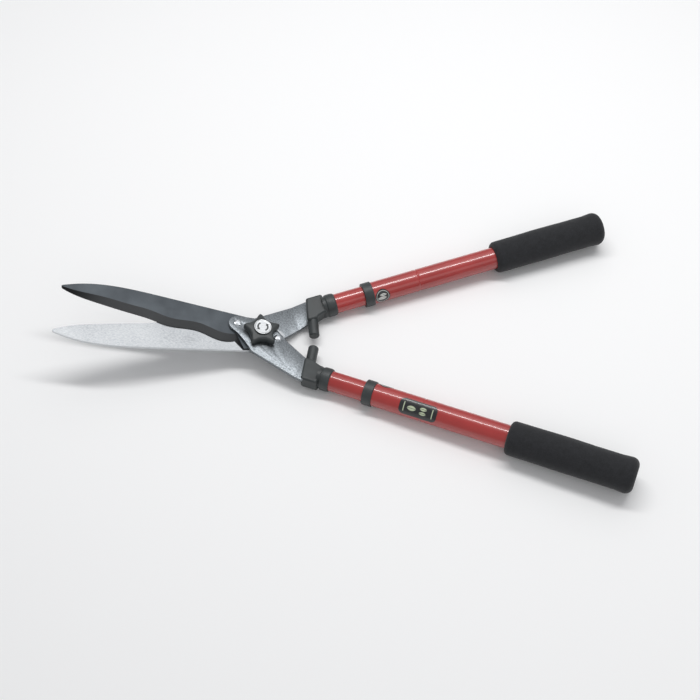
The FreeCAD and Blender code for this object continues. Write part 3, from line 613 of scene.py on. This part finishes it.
def settle(piece, matrix, body, slot, material, *nodes, smooth_deg=35):
    """Puts a finished piece in its place, dresses it and hangs it on its body."""
    piece.data.transform(matrix @ piece.matrix_basis)
    piece.matrix_basis = Matrix.Identity(4)
    bpy.ops.object.shade_smooth_by_angle(angle=math.radians(smooth_deg))
    dress(piece, material)
    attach(piece, body)
    if nodes:
        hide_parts(*nodes)
    print(piece.name, "has", len(piece.data.polygons), "faces")


# %% [markdown]
# ## Star knob
# The knob is one polyamide moulding with five rounded lobes, domed on top so that it sits well
# under the fingers. A ring of ten points becomes the star: every second point is drawn in, and the
# corners are rounded. Three shrinking insets, each a little higher, dome the lobes.

# %% Star outline
knob_low, knob_high = extent("star_knob", PIVOT)
_, insert_high = extent("knob_insert", PIVOT)
cap_low, cap_high = extent("knob_cap", PIVOT)
LOBES = 5
LOBE_ANGLE = math.radians(27.0)
TIP_RADIUS = 20.3 * MM
BLANK_TIP = 24.5 * MM
VALLEY_SHARE = 0.48
ROUND_REACH = 7.0 * MM


def in_a_valley(place):
    """True for the ring points that lie half way between two lobes."""
    return math.cos(LOBES * (math.atan2(place.y, place.x) - math.pi / 2)) < 0


knob = start("star_knob_moulding", bpy.ops.mesh.primitive_circle_add, vertices=2 * LOBES,
             radius=BLANK_TIP, fill_type="NGON")
pick("VERT", in_a_valley)
bpy.ops.transform.resize(value=(VALLEY_SHARE, VALLEY_SHARE, 1))
bpy.ops.mesh.select_all(action="SELECT")
bpy.ops.mesh.bevel(offset=ROUND_REACH, offset_type="OFFSET", segments=8, affect="VERTICES")
bpy.ops.object.mode_set(mode="OBJECT")
widest = max(vertex.co.length for vertex in knob.data.vertices)
bpy.ops.object.mode_set(mode="EDIT")
bpy.ops.mesh.select_all(action="SELECT")
bpy.ops.transform.resize(value=(TIP_RADIUS / widest, TIP_RADIUS / widest, 1))
print("star outline of", len(knob.data.vertices), "points")

# %% Star body: a wall, then insets that dome the lobes
DOME_STEPS_MM = ((0.25, 0.75), (0.45, 0.65), (0.7, 0.5), (0.9, 0.3))
FOOT_ROUND_MM = 0.5
knob_height = knob_high.z - knob_low.z
dome = sum(rise for _, rise in DOME_STEPS_MM) * MM
raise_by(knob_height - dome)
for inward, rise in DOME_STEPS_MM:
    bpy.ops.mesh.inset(thickness=inward * MM, depth=rise * MM)
bpy.ops.mesh.poke()
pick("EDGE", lambda middle: middle.z < 0.01 * MM)
bpy.ops.mesh.bevel(offset=FOOT_ROUND_MM * MM, offset_type="OFFSET", segments=3)
close_up(knob)

# %% Lobes slope down from the hub, and a bore takes the insert
LOBE_SLOPE = 0.16
cap_radius = cap_high.x
for vertex in knob.data.vertices:
    out = Vector(vertex.co.xy).length - cap_radius
    if vertex.co.z > knob_height / 2 and out > 0:
        vertex.co.z -= LOBE_SLOPE * out


def drill(piece, radius, low, high):
    """Bores a round hole along z with a boolean cut."""
    bpy.ops.object.select_all(action="DESELECT")
    bpy.ops.mesh.primitive_cylinder_add(vertices=96, radius=radius, depth=high - low,
                                        location=(0, 0, (low + high) / 2))
    cutter = bpy.context.object
    bpy.context.view_layer.objects.active = piece
    modify(piece, "BOOLEAN", object=cutter, operation="DIFFERENCE", solver="EXACT")
    bpy.data.objects.remove(cutter)
    piece.select_set(True)


drill(knob, insert_high.x, -1 * MM, insert_high.z - knob_low.z)
to_knob = PIVOT @ Matrix.Translation((0, 0, knob_low.z)) @ Matrix.Rotation(
    LOBE_ANGLE - math.pi / 2, 4, "Z")
settle(knob, to_knob, "knob", "black_plastic", FINISH["black_plastic"], "star_knob")

# %% [markdown]
# ## Cap with its turning arrows
# The cap is a pressed aluminium disc with a raised rim. Two curved arrows stand a hair above its
# face and show which way the knob turns. They start as one flat ring, cut into two and shaped by
# angle.

# %% Cap
RIM_WIDTH = 0.9 * MM
FACE_DROP = 0.35 * MM
FACE_BORDER = 1.2 * MM
CAP_ROUND = 0.5 * MM
cap_height = cap_high.z - cap_low.z
cap = start("cap_disc", bpy.ops.mesh.primitive_cylinder_add, vertices=96, radius=cap_radius,
            depth=cap_height, end_fill_type="NGON")
pick("FACE", lambda middle: middle.z > cap_height * 0.49)
bpy.ops.mesh.inset(thickness=RIM_WIDTH)
bpy.ops.mesh.inset(thickness=FACE_DROP * 0.7, depth=-FACE_DROP)
bpy.ops.mesh.inset(thickness=FACE_BORDER)
close_up(cap)
modify(cap, "BEVEL", width=CAP_ROUND, segments=4, limit_method="ANGLE",
       angle_limit=math.radians(50))
settle(cap, PIVOT @ Matrix.Translation((0, 0, (cap_low.z + cap_high.z) / 2)), "knob",
       "silver_cap", FINISH["silver_cap"], "knob_cap")

# %% Turning arrows
ARROW_RADIUS = 5.3 * MM
ARROW_HALF_WIDTH = 0.85 * MM
HEAD_HALF_WIDTH = 1.9 * MM
ARROW_SINK = 0.1 * MM
ARROW_PROUD = 0.08 * MM
RING_STEPS = 144
BODY_END_DEG = 85
HEAD_END_DEG = 110
ARROW_TURN = math.radians(125)


def half_width_at(degrees):
    """Half the width of an arrow at an angle from its tail."""
    if degrees <= BODY_END_DEG:
        return ARROW_HALF_WIDTH
    return HEAD_HALF_WIDTH * max(0.02, (HEAD_END_DEG - degrees) / (HEAD_END_DEG - BODY_END_DEG))


def angle_from_tail(place):
    """Degrees round from the tail of the arrow that a place belongs to."""
    return math.degrees(math.atan2(place.y, place.x)) % 180


arrows = start("turning_arrows", bpy.ops.mesh.primitive_circle_add, vertices=RING_STEPS,
               radius=ARROW_RADIUS - ARROW_HALF_WIDTH, fill_type="NOTHING")
grow = (ARROW_RADIUS + ARROW_HALF_WIDTH) / (ARROW_RADIUS - ARROW_HALF_WIDTH)
bpy.ops.mesh.extrude_edges_move()
bpy.ops.transform.resize(value=(grow, grow, 1))
pick("FACE", lambda middle: angle_from_tail(middle) > HEAD_END_DEG)
bpy.ops.mesh.delete(type="FACE")
bpy.ops.mesh.select_all(action="SELECT")
raise_by(ARROW_SINK + ARROW_PROUD)
bpy.ops.mesh.select_all(action="SELECT")
bpy.ops.mesh.normals_make_consistent(inside=False)
bpy.ops.object.mode_set(mode="OBJECT")
for vertex in arrows.data.vertices:
    flat = Vector(vertex.co.xy)
    way = 1 if flat.length > ARROW_RADIUS else -1
    vertex.co.xy = flat.normalized() * (
        ARROW_RADIUS + way * half_width_at(angle_from_tail(vertex.co)))
arrow_low = cap_high.z - FACE_DROP - ARROW_SINK
to_cap = PIVOT @ Matrix.Translation((0, 0, arrow_low)) @ Matrix.Rotation(ARROW_TURN, 4, "Z")
settle(arrows, to_cap, "knob", "black_plastic", FINISH["black_plastic"])

# %% [markdown]
# ## Foam grips
# A grip is a thick tube of closed-cell foam pushed over the handle, closed behind the tube's plug.
# Foam is soft, so its front lip is well rounded, the body swells a little between the hands, and
# the rear end flares. A ring of points is drawn along the tube and resized at every step of the
# profile.

# %% Profile of a grip
RING_POINTS = 72
ARC_STEPS = 6
LIP_ROUND = 5.0 * MM
END_ROUND = 8.0 * MM
FLARE_LENGTH = 18.0 * MM
FLARE = 0.8 * MM
SWELL = 0.35 * MM
BODY_STEPS = 12
LUMP_SIZE = 16 * MM
LUMP_HEIGHT = 0.45 * MM


def round_corner(centre_x, centre_r, radius, first_deg, last_deg):
    """Points of a quarter circle on a profile, as pairs of place along the axis and radius."""
    for step in range(ARC_STEPS + 1):
        angle = math.radians(first_deg + (last_deg - first_deg) * step / ARC_STEPS)
        yield centre_x + radius * math.cos(angle), centre_r + radius * math.sin(angle)


def grip_profile(first, last, bore, bore_end, radius):
    """From the floor of the bore, out of the mouth, over the outside and round to the closed end."""
    body = radius - FLARE
    points = [(bore_end, bore), (first + 2 * MM, bore), (first, bore + 0.6 * MM)]
    points += round_corner(first + LIP_ROUND, body - LIP_ROUND, LIP_ROUND, 180, 90)
    body_start, body_end = first + LIP_ROUND, last - FLARE_LENGTH
    for step in range(1, BODY_STEPS):
        share = step / BODY_STEPS
        swell = SWELL * math.sin(math.pi * share) - 0.6 * SWELL * math.sin(2 * math.pi * share) ** 2
        points.append((body_start + (body_end - body_start) * share, body + swell))
    points += [(body_end, body), (body_end + 0.5 * (FLARE_LENGTH - END_ROUND), body + 0.6 * FLARE)]
    points += round_corner(last - END_ROUND, radius - END_ROUND, END_ROUND, 90, 8)
    return points


def make_grip(side):
    """Grip of one handle, drawn upright ring by ring, then laid along the tube."""
    low, high = extent(f"grip_{side}", HANDLE[side])
    bore = extent(f"outer_tube_{side}", HANDLE[side])[1].z
    bore_end = extent(f"end_plug_{side}", HANDLE[side])[1].x
    points = grip_profile(low.x, high.x, bore, bore_end, high.z)
    grip = start(f"foam_grip_{side}", bpy.ops.mesh.primitive_circle_add, vertices=RING_POINTS,
                 radius=points[0][1], fill_type="NOTHING")
    for (here, radius), (there, next_radius) in zip(points, points[1:]):
        bpy.ops.mesh.extrude_edges_move(TRANSFORM_OT_translate={"value": (0, 0, there - here)})
        share = next_radius / radius
        bpy.ops.transform.resize(value=(share, share, 1))
    bpy.ops.mesh.fill()
    pick("VERT", lambda place: abs(place.z) < 0.01 * MM and place.xy.length < bore + 0.1 * MM)
    bpy.ops.mesh.edge_face_add()
    close_up(grip)
    lie_down = Matrix.Translation((bore_end, 0, 0)) @ Matrix.Rotation(math.pi / 2, 4, "Y")
    grip.data.transform(lie_down)
    swelling = bpy.data.textures.new(f"foam_swelling_{side}", "CLOUDS")
    swelling.noise_scale = LUMP_SIZE
    modify(grip, "DISPLACE", texture=swelling, strength=LUMP_HEIGHT, mid_level=0.75)
    settle(grip, HANDLE[side], f"sleeve_{side}", "black_foam", FINISH["black_foam"],
           f"grip_{side}", smooth_deg=50)


for side in ("top", "bottom"):
    make_grip(side)

# %% [markdown]
# ## Arms with broken edges
# The arms are pressed plate, and no edge of theirs is truly sharp, as paint has to hold on it. A
# copy of the solid is merged into clean faces, and a narrow bevel breaks its edges. The light then
# catches a thin line along them.

# %% Copies with broken edges
EDGE_BREAK = 0.35 * MM
EDGE_ANGLE = math.radians(40)
FLAT_ANGLE = math.radians(0.4)


def broken_edges(node, name, body):
    """Copy of a solid with its loose triangles merged and its edges bevelled."""
    solid = frame["nodes"][node]
    piece = bpy.data.objects.new(name, solid.data.copy())
    piece.data.name = name
    bpy.context.scene.collection.objects.link(piece)
    bpy.ops.object.select_all(action="DESELECT")
    piece.select_set(True)
    bpy.context.view_layer.objects.active = piece
    bpy.ops.mesh.customdata_custom_splitnormals_clear()
    bpy.ops.object.mode_set(mode="EDIT")
    bpy.ops.mesh.select_all(action="SELECT")
    bpy.ops.mesh.remove_doubles(threshold=0.002 * MM)
    bpy.ops.mesh.dissolve_limited(angle_limit=FLAT_ANGLE)
    bpy.ops.mesh.normals_make_consistent(inside=False)
    bpy.ops.object.mode_set(mode="OBJECT")
    modify(piece, "BEVEL", width=EDGE_BREAK, segments=2, limit_method="ANGLE",
           angle_limit=EDGE_ANGLE, use_clamp_overlap=True)
    slot = slots[node]
    settle(piece, Matrix.Identity(4), body, slot, FINISH[slot], node, smooth_deg=30)


for side in ("top", "bottom"):
    broken_edges(f"arm_{side}", f"pressed_arm_{side}", f"{side}_half")
